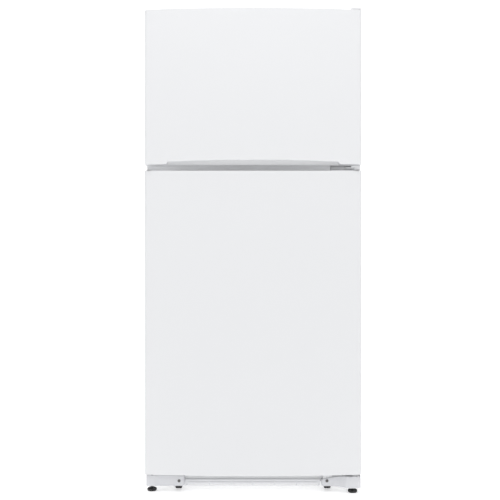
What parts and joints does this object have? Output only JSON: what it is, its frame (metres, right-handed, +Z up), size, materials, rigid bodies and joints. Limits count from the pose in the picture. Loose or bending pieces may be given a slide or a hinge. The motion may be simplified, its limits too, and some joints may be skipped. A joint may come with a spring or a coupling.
{
  "type": "top freezer refrigerator",
  "caption": "Free-standing top freezer refrigerator with two right-hinged crowned doors, an arch-shaped scoop handle, door bins, glass shelves, crispers and a fan-cooled machine bay.",
  "frame": {"origin": "middle of the footprint, on the floor", "axes": "+Z up, -Y out of the doors' front, +X toward the hinge side"},
  "size_m": [0.75, 0.77, 1.682],
  "materials": {
    "white_enamel": "gloss",
    "white_plastic": "satin",
    "liner_plastic": "satin",
    "foam": "matte",
    "galvanised_steel": "satin",
    "grey_steel": "satin",
    "cover_plastic": "satin",
    "gasket_rubber": "matte",
    "black_plastic": "satin",
    "clear_plastic": "gloss",
    "shelf_glass": "gloss",
    "lamp_lens": "gloss",
    "white_wire": "gloss",
    "aluminium_fins": "satin",
    "black_enamel": "gloss",
    "copper_black": "satin",
    "screw_steel": "satin",
    "grey_plastic": "satin"
  },
  "bodies": {
    "cabinet": {"cabinet_wrapper": "white_enamel", "rear_panel": "grey_steel", "cabinet_foam": "foam", "fridge_liner": "liner_plastic", "freezer_liner": "liner_plastic", "mullion_rail": "white_enamel", "base_frame": "galvanised_steel", "toe_grille": "cover_plastic", "base_cover_left": "cover_plastic", "base_cover_right": "cover_plastic", "bottom_hinge": "grey_steel", "center_hinge": "grey_steel", "top_hinge": "grey_steel", "top_hinge_cover": "white_plastic", "hinge_screws": "screw_steel", "hinge_hole_plugs": "white_plastic", "roller_adjust_screws": "screw_steel", "compressor": "black_enamel", "compressor_tray": "galvanised_steel", "condenser_coil": "copper_black", "fan_motors": "black_plastic", "drain_pan": "grey_plastic", "rear_access_cover": "grey_steel", "evaporator_coil": "aluminium_fins", "evaporator_cover": "liner_plastic", "freezer_shelf": "white_wire", "shelf_frames": "white_plastic", "shelf_glass": "shelf_glass", "crisper_cover_frame": "white_plastic", "control_housing": "liner_plastic", "light_lens": "lamp_lens", "power_inlet": "black_plastic"},
    "freezer_door": {"freezer_door_skin": "white_enamel", "freezer_door_liner": "liner_plastic", "freezer_door_foam": "foam", "freezer_door_top_cap": "white_plastic", "freezer_door_handle_cap": "cover_plastic", "freezer_door_gasket": "gasket_rubber", "freezer_door_bins": "clear_plastic"},
    "fridge_door": {"fridge_door_skin": "white_enamel", "fridge_door_liner": "liner_plastic", "fridge_door_foam": "foam", "fridge_door_handle_cap": "white_plastic", "fridge_door_bottom_cap": "white_plastic", "fridge_door_gasket": "gasket_rubber", "fridge_door_bins": "clear_plastic"},
    "dairy_lid_body": {"dairy_lid": "clear_plastic"},
    "crisper_left_body": {"crisper_left": "clear_plastic"},
    "crisper_right_body": {"crisper_right": "clear_plastic"},
    "humidity_slider_body": {"humidity_slider": "grey_plastic"},
    "temperature_knob_body": {"temperature_knob": "grey_plastic"},
    "light_switch_plunger_body": {"light_switch_plunger": "white_plastic"},
    "condenser_fan_blade_body": {"condenser_fan_blade": "black_plastic"},
    "evaporator_fan_blade_body": {"evaporator_fan_blade": "black_plastic"},
    "front_roller_left_body": {"front_roller_left": "black_plastic"},
    "front_roller_right_body": {"front_roller_right": "black_plastic"},
    "rear_roller_left_body": {"rear_roller_left": "black_plastic"},
    "rear_roller_right_body": {"rear_roller_right": "black_plastic"},
    "levelling_foot_left_body": {"levelling_foot_left": "black_plastic"},
    "levelling_foot_right_body": {"levelling_foot_right": "black_plastic"}
  },
  "joints": [
    {"name": "freezer_door_hinge", "type": "hinge", "parent": "cabinet", "child": "freezer_door", "pos_m": [0.352, -0.34, 1.4], "axis": [0, 0, 1], "range_deg": [0, 125]},
    {"name": "fridge_door_hinge", "type": "hinge", "parent": "cabinet", "child": "fridge_door", "pos_m": [0.352, -0.34, 0.6], "axis": [0, 0, 1], "range_deg": [0, 125]},
    {"name": "dairy_lid_hinge", "type": "hinge", "parent": "fridge_door", "child": "dairy_lid_body", "pos_m": [-0.146, -0.294, 0.95], "axis": [1, 0, 0], "range_deg": [0, 78]},
    {"name": "crisper_left_slide", "type": "slide", "parent": "cabinet", "child": "crisper_left_body", "axis": [0, -1, 0], "range_m": [0, 0.038]},
    {"name": "crisper_right_slide", "type": "slide", "parent": "cabinet", "child": "crisper_right_body", "axis": [0, -1, 0], "range_m": [0, 0.038]},
    {"name": "humidity_slide", "type": "slide", "parent": "cabinet", "child": "humidity_slider_body", "axis": [1, 0, 0], "range_m": [0, 0.05]},
    {"name": "temperature_knob_turn", "type": "hinge", "parent": "cabinet", "child": "temperature_knob_body", "pos_m": [0.09, -0.215, 1.05], "axis": [0, -1, 0], "range_deg": [0, 270]},
    {"name": "light_switch_slide", "type": "slide", "parent": "cabinet", "child": "light_switch_plunger_body", "axis": [0, -1, 0], "range_m": [0, 0.008]},
    {"name": "evaporator_fan_spin", "type": "hinge", "parent": "cabinet", "child": "evaporator_fan_blade_body", "pos_m": [0, 0.244, 1.535], "axis": [0, 1, 0], "continuous": true},
    {"name": "condenser_fan_spin", "type": "hinge", "parent": "cabinet", "child": "condenser_fan_blade_body", "pos_m": [-0.012, 0.268, 0.15], "axis": [1, 0, 0], "continuous": true},
    {"name": "front_roller_left_spin", "type": "hinge", "parent": "cabinet", "child": "front_roller_left_body", "pos_m": [-0.261, -0.302, 0.0225], "axis": [1, 0, 0], "continuous": true},
    {"name": "front_roller_right_spin", "type": "hinge", "parent": "cabinet", "child": "front_roller_right_body", "pos_m": [0.261, -0.302, 0.0225], "axis": [1, 0, 0], "continuous": true},
    {"name": "rear_roller_left_spin", "type": "hinge", "parent": "cabinet", "child": "rear_roller_left_body", "pos_m": [-0.322, 0.338, 0.02], "axis": [1, 0, 0], "continuous": true},
    {"name": "rear_roller_right_spin", "type": "hinge", "parent": "cabinet", "child": "rear_roller_right_body", "pos_m": [0.322, 0.338, 0.02], "axis": [1, 0, 0], "continuous": true},
    {"name": "levelling_foot_left_screw", "type": "slide", "parent": "cabinet", "child": "levelling_foot_left_body", "axis": [0, 0, -1], "range_m": [-0.004, 0.012]},
    {"name": "levelling_foot_right_screw", "type": "slide", "parent": "cabinet", "child": "levelling_foot_right_body", "axis": [0, 0, -1], "range_m": [-0.004, 0.012]}
  ],
  "couplings": [
    {"joint": "light_switch_slide", "follows": "fridge_door_hinge", "m_per_rad": 0.0036669}
  ]
}
